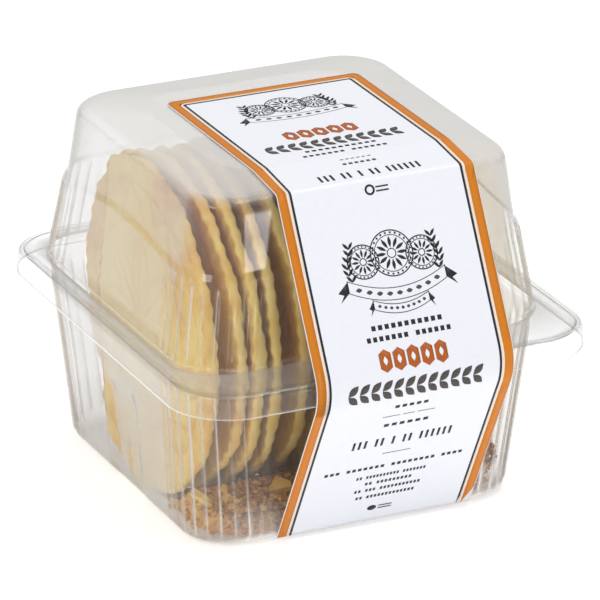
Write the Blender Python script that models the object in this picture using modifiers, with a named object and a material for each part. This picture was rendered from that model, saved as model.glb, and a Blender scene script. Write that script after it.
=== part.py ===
"""Clear clamshell pack of pizzelle wafer cookies.

A square tray and a square lid of clear plastic meet at a wide flange. A paper label
runs over the lid's top, down the front across the flange and to the tray's foot.
A row of round pizzelle stands on edge inside, and the leftmost one is broken at its
back. X runs along the front, Y from front to back, Z up, in metres. The origin is at
the bottom centre of the whole pack.
"""

import math

import bmesh
import bpy
from mathutils import Matrix, Vector

MM = 0.001

# Driving dimensions, in millimetres
WALL = 0.5                 # thickness of the clear plastic
GAP = 0.4                  # air between touching pieces
FLANGE_X = 82.0            # half size of the lid's flange
FLANGE_Y = 89.5
FLANGE_RADIUS = 24.0
FLANGE_Z = 73.3            # height of the flange's top face
SKIRT = 8.5                # depth of the lip that hangs from the flange
BACKSET = 6.7              # the square body sits this far behind the flange's middle
BODY_RADIUS = 20.0
LID_HALF = 72.1            # lid at the flange
LEDGE_RISE = 33.0          # height of the lid's fluted band above the flange
LEDGE_STEP = 1.3           # how far the plain wall above it stands back
LEDGE_SLOPE = 1.0
SHOULDER_HALF = 62.5       # lid where the walls end
SHOULDER_RISE = 59.4
SHOULDER_RADIUS = 16.0
TOP_HALF = 43.8            # flat top plate
TOP_RISE = 62.1
TOP_RADIUS = 20.0
RIM_DROP = 1.5             # flared rim under the tray's flange
RIM_FLARE = 1.0
TRAY_HALF = 71.6           # tray under its rim
FOOT_HALF = 65.2           # tray just above its rounded foot
FOOT_RISE = 5.0
FOOT_LIP = (64.3, 19.0, 1.6)   # half size, radius and height halfway round the foot
FLOOR_HALF = 62.1
FLOOR_RADIUS = 17.0
FLUTE = 0.7                # depth of the ribs at the corners
NOTCH = 2.2                # depth of the recess in each side of the tray
NOTCH_TOP = 45.0
NOTCH_SLOPE = 3.0
LABEL_HALF = 39.1          # half the label's width
LABEL_MIDDLE = 4.0         # the label sits a little to the right
LABEL_BACK = 38.7          # where the label starts, behind the flange's middle
LABEL_LIFT = 0.7           # the label's height over the lid's shoulder
LABEL_NOSE = 3.5           # how far the label's fold stands before the flange
LABEL_FOLDS = (12.0, 2.0, 16.0)   # radii at the top's edge, the shoulder and the flange
LABEL_FOOT = (-58.2, 1.2)  # the label's end at the tray's foot, as (y, z)
LABEL_THICK = 0.3
LABEL_CORNER = 3.0
CORNER_STEPS = 4
COOKIES = 13
COOKIE_RADIUS = 64.0
COOKIE_BACK = -0.7         # mean place of a wafer's middle, behind the body's
COOKIE_SWAY = 1.6
COOKIE_FIRST = -58.5       # middle of the leftmost wafer, from the pack's middle
COOKIE_LIFT = 0.5          # over the tray's floor
COOKIE_THICK = 5.0
COOKIE_PITCH = 9.0
COOKIE_YAW = 2.4           # degrees
COOKIE_LEAN = 0.5
# How fast the sway, yaw, lean and spin change from wafer to wafer, in radians
SWAY_STEP, YAW_STEP, LEAN_STEP, SPIN_STEP = 1.9, 1.6, 0.8, 0.7
LEAN_START = 1.0
COOKIE_EDGE = 7.0          # width of the sloping edge
COOKIE_CROWN = 0.8
COOKIE_WARP = 0.5
SCALLOPS = 12
SCALLOP_DEPTH = 0.02       # as a share of the radius
BREAKS = ((39.0, 10.0), (39.0, -7.0))   # the first wafer is broken along two chords, each
                                        # this far behind its middle, slanting so many degrees

# Places of the points along half a straight side, as shares of its length
SIDE_SHARES = (0.88, 0.76, 0.64, 0.36, 0.29)
FLUTED_SHARES = 3          # how many of them belong to the ribs
ARC_STEPS = 8


def material(name, colour, roughness, alpha=1.0):
    """A Principled material of one colour."""
    made = bpy.data.materials.new(name)
    made.use_nodes = True
    shader = made.node_tree.nodes["Principled BSDF"]
    shader.inputs["Base Color"].default_value = (*colour, 1.0)
    shader.inputs["Roughness"].default_value = roughness
    shader.inputs["Metallic"].default_value = 0.0
    shader.inputs["Alpha"].default_value = alpha
    return made


def add_mesh(name, bm, collection, finish):
    """Turn a bmesh into a named object with one material."""
    mesh = bpy.data.meshes.new(name)
    bm.to_mesh(mesh)
    bm.free()
    mesh.materials.append(finish)
    made = bpy.data.objects.new(name, mesh)
    collection.objects.link(made)
    return made


def thicken(made, thickness, offset):
    """Give an open surface its wall."""
    solid = made.modifiers.new("Wall", "SOLIDIFY")
    solid.thickness = thickness * MM
    solid.offset = offset
    solid.use_even_offset = True


def side_points(half_x, half_y, radius, flute, notch):
    """Points of the +X side and the corner after it, for a rounded square."""
    reach = half_y - radius
    points = []
    for place, share in enumerate(reversed(SIDE_SHARES)):
        inward = notch if place == 0 else 0.0
        rib = len(SIDE_SHARES) - 1 - place
        outward = flute * (-1) ** rib if rib < FLUTED_SHARES else 0.0
        points.append((half_x - inward + outward, share * reach))
    for step in range(ARC_STEPS + 1):
        angle = math.pi / 2 * step / ARC_STEPS
        swell = radius - flute * (-1) ** step
        points.append((half_x - radius + swell * math.cos(angle),
                       half_y - radius + swell * math.sin(angle)))
    return points


def ring(half_x, half_y, radius, height, flute=0.0, notch=0.0, back=0.0):
    """Closed outline at one height, counter-clockwise from above."""
    ahead = side_points(half_x, half_y, radius, flute, notch)
    across = side_points(half_y, half_x, radius, flute, notch)
    straights = len(SIDE_SHARES)
    quarter = ahead + [(y, x) for x, y in reversed(across[:straights])]
    mirrored = [(-x, y) for x, y in reversed(quarter)]
    upper = quarter + mirrored
    lower = [(-x, -y) for x, y in upper]
    return [Vector((x, y + back + FLANGE_MIDDLE, height)) * MM for x, y in upper + lower]


def loft(rings, cap):
    """Open surface through the rings, from the lowest listed to the last."""
    bm = bmesh.new()
    loops = [[bm.verts.new(point) for point in outline] for outline in rings]
    count = len(loops[0])
    for lower, upper in zip(loops, loops[1:]):
        for i in range(count):
            j = (i + 1) % count
            bm.faces.new((lower[i], lower[j], upper[j], upper[i]))
    if cap == "first":
        bm.faces.new(list(reversed(loops[0])))
    if cap == "last":
        bm.faces.new(loops[-1])
    return bm


def square(half, radius, height, flute=0.0, notch=0.0):
    """A ring of the pack's square body."""
    return ring(half, half, radius, height, flute, notch, BACKSET)


def make_lid(collection, finish):
    """Flange with its hanging lip, fluted lower wall, plain upper wall and top."""
    ledge = LID_HALF - (LID_HALF - SHOULDER_HALF) * LEDGE_RISE / SHOULDER_RISE
    rings = [
        ring(FLANGE_X, FLANGE_Y, FLANGE_RADIUS, FLANGE_Z - SKIRT),
        ring(FLANGE_X, FLANGE_Y, FLANGE_RADIUS, FLANGE_Z),
        square(LID_HALF, BODY_RADIUS, FLANGE_Z, FLUTE),
        square(ledge + LEDGE_STEP / 2, BODY_RADIUS, FLANGE_Z + LEDGE_RISE, FLUTE),
        square(ledge - LEDGE_STEP / 2, BODY_RADIUS, FLANGE_Z + LEDGE_RISE + LEDGE_SLOPE),
        square(SHOULDER_HALF, SHOULDER_RADIUS, FLANGE_Z + SHOULDER_RISE),
        square(TOP_HALF, TOP_RADIUS, FLANGE_Z + TOP_RISE),
    ]
    made = add_mesh("lid", loft(rings, "last"), collection, finish)
    thicken(made, WALL, -1.0)
    return made


def make_tray(collection, finish):
    """Flat floor, rounded foot, ribbed walls with a recess, and a flange."""
    rim_z = FLANGE_Z - WALL - GAP - WALL
    inset = WALL + GAP
    slope = (TRAY_HALF - FOOT_HALF) / rim_z
    at_notch = FOOT_HALF + slope * NOTCH_TOP
    rings = [
        square(FLOOR_HALF, FLOOR_RADIUS, 0.0),
        square(*FOOT_LIP, 0.0, NOTCH / 2),
        square(FOOT_HALF, BODY_RADIUS, FOOT_RISE, FLUTE, NOTCH),
        square(at_notch, BODY_RADIUS, NOTCH_TOP, FLUTE, NOTCH),
        square(at_notch, BODY_RADIUS, NOTCH_TOP + NOTCH_SLOPE, FLUTE),
        square(TRAY_HALF, BODY_RADIUS, rim_z - RIM_DROP),
        square(TRAY_HALF + RIM_FLARE, BODY_RADIUS, rim_z),
        ring(FLANGE_X - inset, FLANGE_Y - inset, FLANGE_RADIUS - inset, rim_z),
    ]
    made = add_mesh("tray", loft(rings, "first"), collection, finish)
    thicken(made, WALL, -1.0)
    return made


def rounded_path(corners, radii, steps=8):
    """A polyline whose inner corners are replaced by arcs."""
    path = [Vector(corners[0])]
    for i, radius in enumerate(radii, start=1):
        here = Vector(corners[i])
        before = (Vector(corners[i - 1]) - here).normalized()
        after = (Vector(corners[i + 1]) - here).normalized()
        half_angle = before.angle(after) / 2
        middle = here + (before + after).normalized() * (radius / math.sin(half_angle))
        start = here + before * (radius / math.tan(half_angle)) - middle
        turn = start.angle_signed(here + after * (radius / math.tan(half_angle)) - middle)
        for step in range(steps + 1):
            spin = Matrix.Rotation(-turn * step / steps, 2)
            path.append(middle + spin @ start)
    path.append(Vector(corners[-1]))
    return path


def label_path():
    """Side view of the label from its back end to the tray's foot, as (y, z)."""
    top = FLANGE_Z + TOP_RISE + GAP
    shoulder = FLANGE_Z + SHOULDER_RISE + LABEL_LIFT
    corners = [
        (LABEL_BACK, top),
        (BACKSET - TOP_HALF, top),
        (BACKSET - SHOULDER_HALF - LABEL_LIFT, shoulder),
        (-FLANGE_Y - LABEL_NOSE, FLANGE_Z - SKIRT / 2),
        LABEL_FOOT,
    ]
    return rounded_path(corners, LABEL_FOLDS)


def make_label(collection, finish):
    """Paper strip of one width, with rounded corners at its back end."""
    path = label_path()
    start = path[0]
    ahead = (path[1] - start).normalized()
    rows = []
    for step in range(CORNER_STEPS + 1):
        angle = math.pi / 2 * step / CORNER_STEPS
        along = LABEL_CORNER * (1.0 - math.sin(angle))
        narrow = LABEL_CORNER * (1.0 - math.cos(angle))
        rows.append((start + ahead * along, LABEL_HALF - narrow))
    rows.reverse()
    rows += [(point, LABEL_HALF) for point in path[1:]]
    bm = bmesh.new()
    pairs = []
    for (y, z), half in rows:
        left = bm.verts.new(Vector((LABEL_MIDDLE - half, y + FLANGE_MIDDLE, z)) * MM)
        right = bm.verts.new(Vector((LABEL_MIDDLE + half, y + FLANGE_MIDDLE, z)) * MM)
        pairs.append((left, right))
    for (left, right), (next_left, next_right) in zip(pairs, pairs[1:]):
        bm.faces.new((left, next_left, next_right, right))
    made = add_mesh("label", bm, collection, finish)
    thicken(made, LABEL_THICK, 1.0)
    return made


def break_back(bm):
    """Cut a wafer's back off along chords, and close the broken edges."""
    for distance, slant in BREAKS:
        angle = math.radians(slant)
        normal = Vector((-math.sin(angle), math.cos(angle), 0.0))
        cut = bmesh.ops.bisect_plane(bm, geom=bm.verts[:] + bm.edges[:] + bm.faces[:],
                                     plane_co=normal * distance * MM, plane_no=normal,
                                     clear_outer=True)
        rim = [edge for edge in cut["geom_cut"] if isinstance(edge, bmesh.types.BMEdge)]
        bmesh.ops.contextual_create(bm, geom=rim)


def make_cookie(number, collection, finish):
    """One round scalloped wafer, standing on edge across the pack."""
    bm = bmesh.new()
    bmesh.ops.create_cone(bm, cap_ends=True, segments=4 * SCALLOPS,
                          radius1=COOKIE_RADIUS * MM, radius2=COOKIE_RADIUS * MM,
                          depth=(COOKIE_THICK - 2 * COOKIE_CROWN) * MM)
    caps = [face for face in bm.faces if len(face.verts) > 4]
    bmesh.ops.inset_region(bm, faces=caps, thickness=COOKIE_EDGE * MM, depth=COOKIE_CROWN * MM)
    for vert in bm.verts:
        angle = math.atan2(vert.co.y, vert.co.x)
        share = vert.co.xy.length / (COOKIE_RADIUS * MM)
        scallop = 0.5 - 0.5 * math.cos(SCALLOPS * angle)
        trim = 1.0 - SCALLOP_DEPTH * scallop * share
        vert.co.x *= trim
        vert.co.y *= trim
        vert.co.z += COOKIE_WARP * MM * share ** 2 * math.cos(2 * angle)
    if number == 0:
        break_back(bm)
    made = add_mesh(f"pizzelle_{number + 1:02d}", bm, collection, finish)
    x = COOKIE_FIRST + COOKIE_PITCH * number
    y = BACKSET + COOKIE_BACK + COOKIE_SWAY * math.sin(SWAY_STEP * number) + FLANGE_MIDDLE
    z = WALL + COOKIE_LIFT + COOKIE_RADIUS
    yaw = math.radians(COOKIE_YAW) * math.sin(YAW_STEP * number)
    lean = math.radians(COOKIE_LEAN) * math.sin(LEAN_STEP * number + LEAN_START)
    spin = SPIN_STEP * number
    made.location = Vector((x, y, z)) * MM
    made.rotation_euler = (Matrix.Rotation(yaw, 3, "Z")
                           @ Matrix.Rotation(math.pi / 2 + lean, 3, "Y")
                           @ Matrix.Rotation(spin, 3, "Z")).to_euler()
    return made


def label_reach():
    """How far the label's bend stands in front of the flange's middle."""
    return -min(point.x for point in label_path()) + LABEL_THICK


# The pack's box runs from the label's bend to the back of the flange
FLANGE_MIDDLE = (label_reach() - FLANGE_Y) / 2


def main():
    for old in list(bpy.data.objects):
        bpy.data.objects.remove(old)
    pack = bpy.data.collections.new("pizzelle_pack")
    bpy.context.scene.collection.children.link(pack)
    clear = material("clear_plastic", (0.90, 0.90, 0.90), 0.12, 0.35)
    paper = material("label_paper", (0.86, 0.87, 0.91), 0.45)
    wafer = material("golden_wafer", (0.75, 0.55, 0.25), 0.75)
    make_tray(pack, clear)
    make_lid(pack, clear)
    make_label(pack, paper)
    for number in range(COOKIES):
        make_cookie(number, pack, wafer)


main()
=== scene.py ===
"""Looks of the clear clamshell pack of pizzelle: plastic shells, printed label, wafers, crumbs.

Lengths are in millimetres and become metres when a mesh is made. Heights called rise are
above the flange's top face. The outline of each shell is a rounded square whose columns
keep their places from ring to ring, so that ribs and ledges can follow them.
"""

import math

import bmesh
import bpy
import numpy as np
from mathutils import Matrix, Vector


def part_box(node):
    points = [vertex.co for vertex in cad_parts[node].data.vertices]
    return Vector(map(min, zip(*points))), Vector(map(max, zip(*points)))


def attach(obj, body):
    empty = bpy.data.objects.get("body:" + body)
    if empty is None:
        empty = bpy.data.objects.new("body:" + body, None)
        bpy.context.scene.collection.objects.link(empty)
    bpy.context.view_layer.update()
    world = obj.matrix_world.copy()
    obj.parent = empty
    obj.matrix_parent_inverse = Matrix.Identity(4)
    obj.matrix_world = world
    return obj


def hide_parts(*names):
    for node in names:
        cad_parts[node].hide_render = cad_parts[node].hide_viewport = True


MM = 0.001

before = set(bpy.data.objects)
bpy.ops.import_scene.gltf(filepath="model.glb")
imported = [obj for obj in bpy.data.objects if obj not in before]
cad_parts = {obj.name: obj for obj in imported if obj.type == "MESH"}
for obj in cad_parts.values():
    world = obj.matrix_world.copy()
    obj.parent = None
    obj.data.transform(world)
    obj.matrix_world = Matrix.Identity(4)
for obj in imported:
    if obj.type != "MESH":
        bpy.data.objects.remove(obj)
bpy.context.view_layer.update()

# The pack's driving dimensions, as in the CAD model
WALL = 0.5
GAP = 0.4
FLANGE_RADIUS = 24.0
SKIRT = 8.5
BACKSET = 6.7
BODY_RADIUS = 20.0
LID_HALF = 72.1
LEDGE_STEP = 1.3
SHOULDER_HALF = 62.5
SHOULDER_RISE = 59.4
SHOULDER_RADIUS = 16.0
TOP_HALF = 43.8
TOP_RISE = 62.1
TOP_RADIUS = 20.0
TRAY_HALF = 71.6
FOOT_HALF = 65.2
FOOT_RISE = 5.0
FLOOR_HALF = 62.1
FLOOR_RADIUS = 17.0
NOTCH = 2.2
NOTCH_TOP = 45.0
LABEL_BACK = 38.7
LABEL_LIFT = 0.7
LABEL_NOSE = 3.5
LABEL_FOLDS = (12.0, 2.0, 16.0)
LABEL_FOOT = (-58.2, 1.2)
LABEL_CORNER = 3.0
WAFER_RADIUS = 64.0
SCALLOPS = 12
BREAKS = ((39.0, 10.0), (39.0, -7.0))

# Places read from the frame
lid_low, lid_high = (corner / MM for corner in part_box("lid"))
label_low, label_high = (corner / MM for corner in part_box("label"))
wafer_low, wafer_high = (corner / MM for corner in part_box("pizzelle_07"))
FLANGE_X = (lid_high.x - lid_low.x) / 2
FLANGE_Y = (lid_high.y - lid_low.y) / 2
FLANGE_MIDDLE = (lid_high.y + lid_low.y) / 2
FLANGE_Z = lid_low.z + SKIRT
LABEL_HALF = (label_high.x - label_low.x) / 2
LABEL_MIDDLE = (label_high.x + label_low.x) / 2
WAFER_Y = (wafer_low.y + wafer_high.y) / 2
WAFER_Z = (wafer_low.z + wafer_high.z) / 2

# Detail that the CAD model leaves out
FLUTE = 0.55               # depth of the ribs, either way
RIB_PITCH = 5.0
RIB_REACH = 27.0           # ribs end this far along the wall from a corner's middle
RIB_FADE = 5.0
LEDGE_RISE = 33.0
LEDGE_ARCH = 2.0           # the ledge is this much higher at mid side, lower at a corner
LEDGE_HEIGHT = 2.6
LEDGE_ROUND = 1.8
EDGE_ROUND = 2.2           # of the flange's outer edge
LIP_FLARE = 0.5            # the hanging lip spreads this far at its foot
SUNK = 0.45                # the flange's flat lies this far under its rim
BASE_ROUND = 1.6           # where the lid's wall meets the flange
SHOULDER_ROUND = 4.5
CREASE_ROUND = 9.0
FOOT_ROUND = 5.5

# How hazy each part of the plastic is: 1 is a strong veil. Free edges, the wall's foot, flute cusps and the
# lid's top also carry painted highlights and a painted reflection in these values, drawn as a thick pale
# veil.
# The lid's top, from the shoulder crease up: haze plus a painted reflection of the light above, as a thick
# pale veil
TOP_HAZE_AND_PAINTED_REFLECTION = 1.6
LID_WALL_HAZE = 0.50       # in front; the left and right walls have SIDE_HAZE more
EDGE_PAINTED_HIGHLIGHT = 2.6            # painted highlight along a free edge, drawn as a thick pale veil
CUSP_PAINTED_HIGHLIGHT = 1.95           # painted highlight on the sharp line between two flutes
TRAY_HAZE = 0.50
SIDE_HAZE = 0.35
LOW_WALL_HAZE = 1.8            # extra haze low on the tray's front and back walls, pale at this strength
FLANGE_HAZE = 0.08
HAZE_RANGE = 3.0
# The haze's colour, by its share of that range; the pale, warm upper end is the colour of the painted
# highlights and of the painted reflection on the top
HAZE_TINTS = ((0.0, (0.62, 0.62, 0.63)), (0.05, (0.60, 0.60, 0.61)), (0.13, (0.56, 0.55, 0.53)),
              (0.38, (0.56, 0.55, 0.53)), (0.50, (0.70, 0.68, 0.65)), (0.80, (0.93, 0.91, 0.87)))


# ---------------------------------------------------------------- materials

class Finish:
    """A material with a Principled shader, and the nodes that feed it."""

    def __init__(self, name):
        self.made = bpy.data.materials.new(name)
        self.made.use_nodes = True
        self.nodes, self.links = self.made.node_tree.nodes, self.made.node_tree.links
        self.shader = self.nodes["Principled BSDF"]
        self.input = self.shader.inputs

    def add(self, kind, **values):
        """A new node with some of its inputs set."""
        made = self.nodes.new("ShaderNode" + kind)
        for name, value in values.items():
            made.inputs[name.replace("_", " ")].default_value = value
        return made

    def noise(self, scale, detail=3.0, rough=0.55, stretch=None):
        """A noise texture on the piece's own coordinates, in metres."""
        where = self.add("TexCoord").outputs["Object"]
        if stretch:
            mapping = self.add("Mapping", Scale=stretch)
            self.links.new(where, mapping.inputs["Vector"])
            where = mapping.outputs["Vector"]
        made = self.add("TexNoise", Scale=scale, Detail=detail, Roughness=rough)
        self.links.new(where, made.inputs["Vector"])
        return made.outputs["Fac"]

    def spread(self, source, low, high, out_low=0.0, out_high=1.0):
        """Map a value from one range to another, clamped."""
        made = self.add("MapRange", From_Min=low, From_Max=high, To_Min=out_low, To_Max=out_high)
        self.links.new(source, made.inputs["Value"])
        return made.outputs["Result"]

    def combine(self, operation, first, second):
        made = self.add("Math")
        made.operation = operation
        made.use_clamp = True
        for socket, value in zip(made.inputs, (first, second)):
            if isinstance(value, float):
                socket.default_value = value
            else:
                self.links.new(value, socket)
        return made.outputs["Value"]

    def ramp(self, source, stops):
        made = self.add("ValToRGB")
        elements = made.color_ramp.elements
        while len(elements) < len(stops):
            elements.new(0.5)
        for element, (place, colour) in zip(elements, stops):
            element.position = place
            element.color = (*colour, 1.0)
        self.links.new(source, made.inputs["Fac"])
        return made.outputs["Color"]

    def bump(self, height, strength, distance):
        made = self.add("Bump", Strength=strength, Distance=distance * MM)
        self.links.new(height, made.inputs["Height"])
        return made.outputs["Normal"]

    def attribute(self, name):
        made = self.add("Attribute")
        made.attribute_name = name
        return made.outputs["Fac"]

    def mix(self, share, first, second):
        """One shader over another, by a share from 0 to 1."""
        made = self.add("MixShader")
        for socket, source in zip(made.inputs, (share, first, second)):
            self.links.new(source, socket)
        return made.outputs["Shader"]


def clear_plastic(name):
    """Thin clear sheet: a mirror-like film over a milky veil that thickens where it is seen at a slant. A
    point attribute says how milky the forming left each part of the sheet, and also holds painted highlights
    along free edges and flute cusps and a painted reflection on the lid's top, drawn as thick pale veil."""
    at = Finish(name)
    slant = at.add("LayerWeight", Blend=0.5)
    # The attribute holds real haze, plus painted highlights on edges and cusps and a painted reflection on
    # the lid's top
    haze_and_highlight_value = at.attribute("haze_and_highlight")
    veil = at.combine("POWER", slant.outputs["Facing"], 2.4)
    veil = at.combine("ADD", at.combine("MULTIPLY", veil, 0.95), 0.05)
    veil = at.combine("MULTIPLY", veil, haze_and_highlight_value)
    haze_and_highlight = at.combine("ADD", veil, at.spread(at.noise(22.0, 2.0), 0.35, 0.65, 0.005, 0.030))
    tint = at.ramp(at.spread(haze_and_highlight_value, 0.0, HAZE_RANGE), HAZE_TINTS)
    at.links.new(tint, at.input["Base Color"])
    at.input["Roughness"].default_value = 0.6
    at.input["Specular IOR Level"].default_value = 0.0
    sheet = at.mix(haze_and_highlight, at.add("BsdfTransparent").outputs["BSDF"], at.shader.outputs["BSDF"])
    bent = at.bump(at.noise(45.0, 1.0, 0.4, (1.0, 1.0, 0.45)), 0.8, 0.5)
    gloss = at.add("BsdfGlossy", Roughness=0.12)
    glance = at.add("LayerWeight", Blend=0.5)
    for node in (gloss, glance):
        at.links.new(bent, node.inputs["Normal"])
    mirror = at.combine("POWER", glance.outputs["Facing"], 5.0)
    mirror = at.combine("ADD", at.combine("MULTIPLY", mirror, 0.95), 0.018)
    film = at.mix(mirror, sheet, gloss.outputs["BSDF"])
    at.links.new(film, at.nodes["Material Output"].inputs["Surface"])
    return at.made


def satin_paper(name):
    """Coated white paper with a faint grain."""
    at = Finish(name)
    tone = at.ramp(at.noise(900.0, 4.0), [(0.3, (0.79, 0.80, 0.845)), (0.7, (0.82, 0.83, 0.87))])
    at.links.new(tone, at.input["Base Color"])
    at.links.new(at.spread(at.noise(400.0), 0.3, 0.7, 0.38, 0.50), at.input["Roughness"])
    at.links.new(at.bump(at.noise(1500.0, 3.0), 0.15, 0.05), at.input["Normal"])
    return at.made


def ink(name, colour, uneven):
    """Printed ink with a faint mottle."""
    at = Finish(name)
    tone = at.ramp(at.noise(700.0, 4.0), [(0.3, [c * (1.0 - uneven) for c in colour]), (0.7, colour)])
    at.links.new(tone, at.input["Base Color"])
    at.links.new(at.spread(at.noise(400.0), 0.3, 0.7, 0.36, 0.48), at.input["Roughness"])
    at.input["Specular IOR Level"].default_value = 0.25
    return at.made


def baked_wafer(name):
    """Pale baked batter, browner on raised lines and rims, with fine pores, and a painted shade in the same
    browns along a broken edge.
    """
    at = Finish(name)
    broad = at.spread(at.noise(26.0, 3.0), 0.35, 0.70)
    fine = at.spread(at.noise(260.0, 5.0, 0.65), 0.30, 0.75)
    mottle = at.combine("ADD", at.combine("MULTIPLY", broad, 0.42), at.combine("MULTIPLY", fine, 0.20))
    # The attribute holds the baked browning and the painted shade along a broken edge
    toast_and_shade_level = at.combine("ADD", mottle, at.combine("MULTIPLY", at.attribute("toast_and_shade"), 0.62))
    tone = at.ramp(toast_and_shade_level, [
        (0.05, (0.900, 0.720, 0.270)),
        (0.35, (0.840, 0.600, 0.165)),
        (0.65, (0.720, 0.370, 0.070)),
        (0.95, (0.400, 0.145, 0.018)),
    ])
    at.links.new(tone, at.input["Base Color"])
    at.links.new(at.spread(fine, 0.0, 1.0, 0.55, 0.78), at.input["Roughness"])
    pores = at.noise(620.0, 6.0, 0.7)
    at.links.new(at.bump(pores, 0.55, 0.35), at.input["Normal"])
    return at.made


PLASTIC = clear_plastic("clear_sheet")
PAPER = satin_paper("label_paper")
ORANGE_INK = ink("orange_ink", (0.635, 0.200, 0.012), 0.05)
PALE_INK = ink("cream_ink", (0.86, 0.74, 0.62), 0.03)
BLACK_INK = ink("black_ink", (0.022, 0.023, 0.026), 0.20)
GREY_INK = ink("grey_ink", (0.085, 0.075, 0.068), 0.30)
RUST_INK = ink("rust_ink", (0.46, 0.115, 0.020), 0.18)
WAFER = baked_wafer("golden_wafer")


# ---------------------------------------------------------------- mesh helpers

def mesh_piece(name, verts, faces, finish, replaced=(), smooth=40.0):
    """A mesh object from points in millimetres, riding on the pack."""
    mesh = bpy.data.meshes.new(name)
    mesh.from_pydata((np.asarray(verts) * MM).tolist(), [], [list(face) for face in faces])
    mesh.materials.append(finish)
    mesh.validate()
    mesh.shade_smooth()
    mesh.set_sharp_from_angle(angle=math.radians(smooth))
    made = bpy.data.objects.new(name, mesh)
    bpy.context.scene.collection.objects.link(made)
    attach(made, "root")
    if replaced:
        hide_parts(*replaced)
    return made


def store(piece, name, values):
    """Keep a number for each point, which the materials read as an attribute."""
    kept = piece.data.attributes.new(name, "FLOAT", "POINT")
    kept.data.foreach_set("value", values.astype(np.float32))


def thicken(piece, thickness, offset):
    solid = piece.modifiers.new("Wall", "SOLIDIFY")
    solid.thickness = thickness * MM
    solid.offset = offset
    solid.use_even_offset = True


def rounded_path(corners, radii, steps):
    """A polyline in a plane whose inner corners are replaced by arcs."""
    path = [Vector(corners[0])]
    for i, radius in enumerate(radii, start=1):
        here = Vector(corners[i])
        before = (Vector(corners[i - 1]) - here).normalized()
        after = (Vector(corners[i + 1]) - here).normalized()
        half_angle = before.angle(after) / 2
        middle = here + (before + after).normalized() * (radius / math.sin(half_angle))
        start = here + before * (radius / math.tan(half_angle)) - middle
        turn = start.angle_signed(here + after * (radius / math.tan(half_angle)) - middle)
        for step in range(steps + 1):
            path.append(middle + Matrix.Rotation(-turn * step / steps, 2) @ start)
    path.append(Vector(corners[-1]))
    return path


def evenly(path, spacing):
    """Points along a path no further apart than the spacing, keeping its corners."""
    points = [path[0]]
    for start, end in zip(path, path[1:]):
        count = max(1, math.ceil((end - start).length / spacing))
        points += [start.lerp(end, (i + 1) / count) for i in range(count)]
    return points


def tube_faces(count, around, inward=False):
    """Quads through a number of closed rings of points, each joined to the next one."""
    faces = []
    for base in range(0, (count - 1) * around, around):
        for i in range(around):
            j = (i + 1) % around
            quad = (base + i, base + j, base + around + j, base + around + i)
            faces.append(quad[:1] + quad[:0:-1] if inward else quad)
    return faces


# ---------------------------------------------------------------- shell outlines

SIDE_COLUMNS = 44          # on half a straight side
CORNER_COLUMNS = 44        # round a corner
REACH = LID_HALF - BODY_RADIUS


def quarter_columns():
    """Places on a quarter outline: share along the first side, corner angle, share along
    the second side, and the distance from the corner's middle in millimetres."""
    arc = BODY_RADIUS * math.pi / 2
    rows = []
    for i in range(SIDE_COLUMNS):
        share = i / SIDE_COLUMNS
        rows.append((share, 0.0, 1.0, -(arc / 2 + (1.0 - share) * REACH)))
    for i in range(CORNER_COLUMNS + 1):
        turn = i / CORNER_COLUMNS
        rows.append((1.0, turn * math.pi / 2, 1.0, (turn - 0.5) * arc))
    for i in range(1, SIDE_COLUMNS):
        share = 1.0 - i / SIDE_COLUMNS
        rows.append((1.0, math.pi / 2, share, arc / 2 + (1.0 - share) * REACH))
    return np.array(rows)


QUARTER = quarter_columns()
# Signed distance from the nearest corner's middle, for every column of an outline
CORNER_DISTANCE = np.tile(QUARTER[:, 3], 4)
COLUMNS = len(CORNER_DISTANCE)


def outline(half_x, half_y, radius, push=0.0):
    """Points (x, y) of a rounded rectangle, moved out by push, which may vary by column."""
    push = np.broadcast_to(push, COLUMNS).reshape(4, -1)
    share_1, angle, share_2 = QUARTER[:, 0], QUARTER[:, 1], QUARTER[:, 2]
    points = []
    for turn in range(4):
        along_x, along_y = (half_x, half_y) if turn % 2 == 0 else (half_y, half_x)
        reach_x, reach_y = along_x - radius, along_y - radius
        out = radius + push[turn]
        x = reach_x * share_2 + out * np.cos(angle)
        y = reach_y * share_1 + out * np.sin(angle)
        c, s = (1, 0, -1, 0)[turn], (0, 1, 0, -1)[turn]
        points.append(np.stack([c * x - s * y, s * x + c * y], 1))
    return np.concatenate(points)


def ring(half_x, half_y, radius, height, back=0.0, push=0.0):
    """One ring of a shell. The height may vary by column."""
    flat = outline(half_x, half_y, radius, push)
    level = np.broadcast_to(height, COLUMNS)
    return np.stack([flat[:, 0], flat[:, 1] + back + FLANGE_MIDDLE, level], 1)


def ribs():
    """Flutes round the outline: cusped near each corner, nothing at mid side."""
    distance = np.abs(CORNER_DISTANCE)
    wave = 1.0 - 2.0 * np.abs(np.sin(math.pi * (CORNER_DISTANCE / RIB_PITCH))) ** 0.8
    fade = np.clip((RIB_REACH - distance) / RIB_FADE, 0.0, 1.0)
    return wave * fade * fade * (3 - 2 * fade)


RIBS = ribs()
# How strong the painted highlight is along each flute's cusp, more on some ribs than others
CUSPS = (0.35 + 0.65 * np.sin(CORNER_DISTANCE * 0.9) ** 2) * np.clip((RIBS - 0.74) / 0.26, 0.0, 1.0)
# 1 on the left and right walls, 0 on the front and back ones
SIDEWAYS = np.abs(np.cos(np.concatenate([QUARTER[:, 1] + turn * math.pi / 2 for turn in range(4)])))
MID_SIDE = np.clip((np.abs(CORNER_DISTANCE) - 14.0) / 50.0, 0.0, 1.0)


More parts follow.
